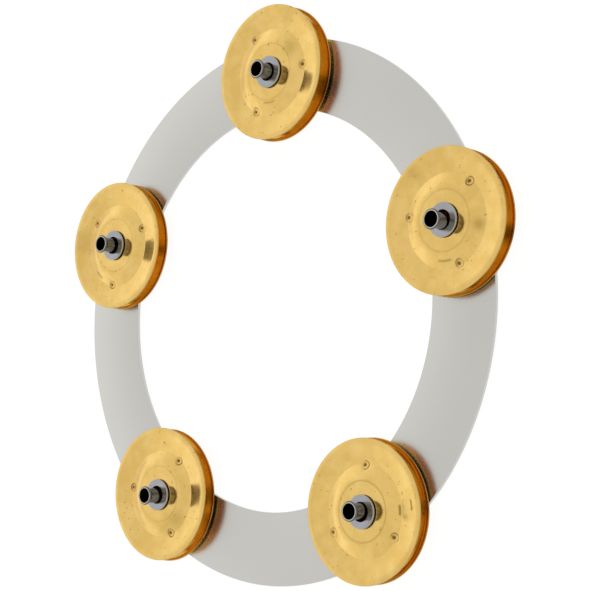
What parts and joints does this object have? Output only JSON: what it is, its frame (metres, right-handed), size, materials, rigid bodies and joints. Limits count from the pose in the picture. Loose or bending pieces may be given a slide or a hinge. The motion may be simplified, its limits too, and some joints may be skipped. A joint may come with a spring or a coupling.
{
  "type": "jingle ring",
  "caption": "Flat steel ring with pairs of loose brass jingles threaded on hollow rivets; it rattles when shaken, or when it rides on a cymbal.",
  "frame": {"origin": "on the ring's axis, in the plane of the ring's upper face, on which the jingle stacks stand; the centroid lies within a millimetre of it", "axes": "+Z along the ring's axis, towards the side with the jingles; +Y from the axis towards the first rivet"},
  "size_m": [0.164, 0.1615, 0.0121],
  "materials": {
    "ring_steel": "satin stainless steel, faintly grained",
    "jingle_brass": "polished brass with small dents and a light tarnish",
    "washer_zinc": "dull zinc-plated steel",
    "rivet_nickel": "nickel-plated steel, slightly tarnished"
  },
  "bodies": {
    "ring": {"ring_plate": "ring_steel", "hollow_rivet_1": "rivet_nickel", "hollow_rivet_2": "rivet_nickel", "hollow_rivet_3": "rivet_nickel", "hollow_rivet_4": "rivet_nickel", "hollow_rivet_5": "rivet_nickel"},
    "lower_washer_1": {"lower_washer_1": "washer_zinc"},
    "lower_jingle_1": {"lower_jingle_1": "jingle_brass"},
    "upper_washer_1": {"upper_washer_1": "washer_zinc"},
    "upper_jingle_1": {"upper_jingle_1": "jingle_brass"},
    "lower_washer_2": {"lower_washer_2": "washer_zinc"},
    "lower_jingle_2": {"lower_jingle_2": "jingle_brass"},
    "upper_washer_2": {"upper_washer_2": "washer_zinc"},
    "upper_jingle_2": {"upper_jingle_2": "jingle_brass"},
    "lower_washer_3": {"lower_washer_3": "washer_zinc"},
    "lower_jingle_3": {"lower_jingle_3": "jingle_brass"},
    "upper_washer_3": {"upper_washer_3": "washer_zinc"},
    "upper_jingle_3": {"upper_jingle_3": "jingle_brass"},
    "lower_washer_4": {"lower_washer_4": "washer_zinc"},
    "lower_jingle_4": {"lower_jingle_4": "jingle_brass"},
    "upper_washer_4": {"upper_washer_4": "washer_zinc"},
    "upper_jingle_4": {"upper_jingle_4": "jingle_brass"},
    "lower_washer_5": {"lower_washer_5": "washer_zinc"},
    "lower_jingle_5": {"lower_jingle_5": "jingle_brass"},
    "upper_washer_5": {"upper_washer_5": "washer_zinc"},
    "upper_jingle_5": {"upper_jingle_5": "jingle_brass"}
  },
  "joints": [
    {"name": "pair_lift_1", "type": "slide", "parent": "ring", "child": "lower_washer_1", "axis": [0, 0, 1], "range_m": [0, 0.00145]},
    {"name": "lower_jingle_spin_1", "type": "hinge", "parent": "lower_washer_1", "child": "lower_jingle_1", "pos_m": [0, 0.0662, 0], "axis": [0, 0, 1], "continuous": true},
    {"name": "pair_parting_1", "type": "slide", "parent": "lower_washer_1", "child": "upper_washer_1", "axis": [0, 0, 1], "range_m": [0, 0.002]},
    {"name": "upper_jingle_spin_1", "type": "hinge", "parent": "upper_washer_1", "child": "upper_jingle_1", "pos_m": [0, 0.0662, 0], "axis": [0, 0, 1], "continuous": true},
    {"name": "pair_lift_2", "type": "slide", "parent": "ring", "child": "lower_washer_2", "axis": [0, 0, 1], "range_m": [0, 0.00145]},
    {"name": "lower_jingle_spin_2", "type": "hinge", "parent": "lower_washer_2", "child": "lower_jingle_2", "pos_m": [0.06296, 0.02046, 0], "axis": [0, 0, 1], "continuous": true},
    {"name": "pair_parting_2", "type": "slide", "parent": "lower_washer_2", "child": "upper_washer_2", "axis": [0, 0, 1], "range_m": [0, 0.002]},
    {"name": "upper_jingle_spin_2", "type": "hinge", "parent": "upper_washer_2", "child": "upper_jingle_2", "pos_m": [0.06296, 0.02046, 0], "axis": [0, 0, 1], "continuous": true},
    {"name": "pair_lift_3", "type": "slide", "parent": "ring", "child": "lower_washer_3", "axis": [0, 0, 1], "range_m": [0, 0.00145]},
    {"name": "lower_jingle_spin_3", "type": "hinge", "parent": "lower_washer_3", "child": "lower_jingle_3", "pos_m": [0.03891, -0.05356, 0], "axis": [0, 0, 1], "continuous": true},
    {"name": "pair_parting_3", "type": "slide", "parent": "lower_washer_3", "child": "upper_washer_3", "axis": [0, 0, 1], "range_m": [0, 0.002]},
    {"name": "upper_jingle_spin_3", "type": "hinge", "parent": "upper_washer_3", "child": "upper_jingle_3", "pos_m": [0.03891, -0.05356, 0], "axis": [0, 0, 1], "continuous": true},
    {"name": "pair_lift_4", "type": "slide", "parent": "ring", "child": "lower_washer_4", "axis": [0, 0, 1], "range_m": [0, 0.00145]},
    {"name": "lower_jingle_spin_4", "type": "hinge", "parent": "lower_washer_4", "child": "lower_jingle_4", "pos_m": [-0.03891, -0.05356, 0], "axis": [0, 0, 1], "continuous": true},
    {"name": "pair_parting_4", "type": "slide", "parent": "lower_washer_4", "child": "upper_washer_4", "axis": [0, 0, 1], "range_m": [0, 0.002]},
    {"name": "upper_jingle_spin_4", "type": "hinge", "parent": "upper_washer_4", "child": "upper_jingle_4", "pos_m": [-0.03891, -0.05356, 0], "axis": [0, 0, 1], "continuous": true},
    {"name": "pair_lift_5", "type": "slide", "parent": "ring", "child": "lower_washer_5", "axis": [0, 0, 1], "range_m": [0, 0.00145]},
    {"name": "lower_jingle_spin_5", "type": "hinge", "parent": "lower_washer_5", "child": "lower_jingle_5", "pos_m": [-0.06296, 0.02046, 0], "axis": [0, 0, 1], "continuous": true},
    {"name": "pair_parting_5", "type": "slide", "parent": "lower_washer_5", "child": "upper_washer_5", "axis": [0, 0, 1], "range_m": [0, 0.002]},
    {"name": "upper_jingle_spin_5", "type": "hinge", "parent": "upper_washer_5", "child": "upper_jingle_5", "pos_m": [-0.06296, 0.02046, 0], "axis": [0, 0, 1], "continuous": true}
  ]
}
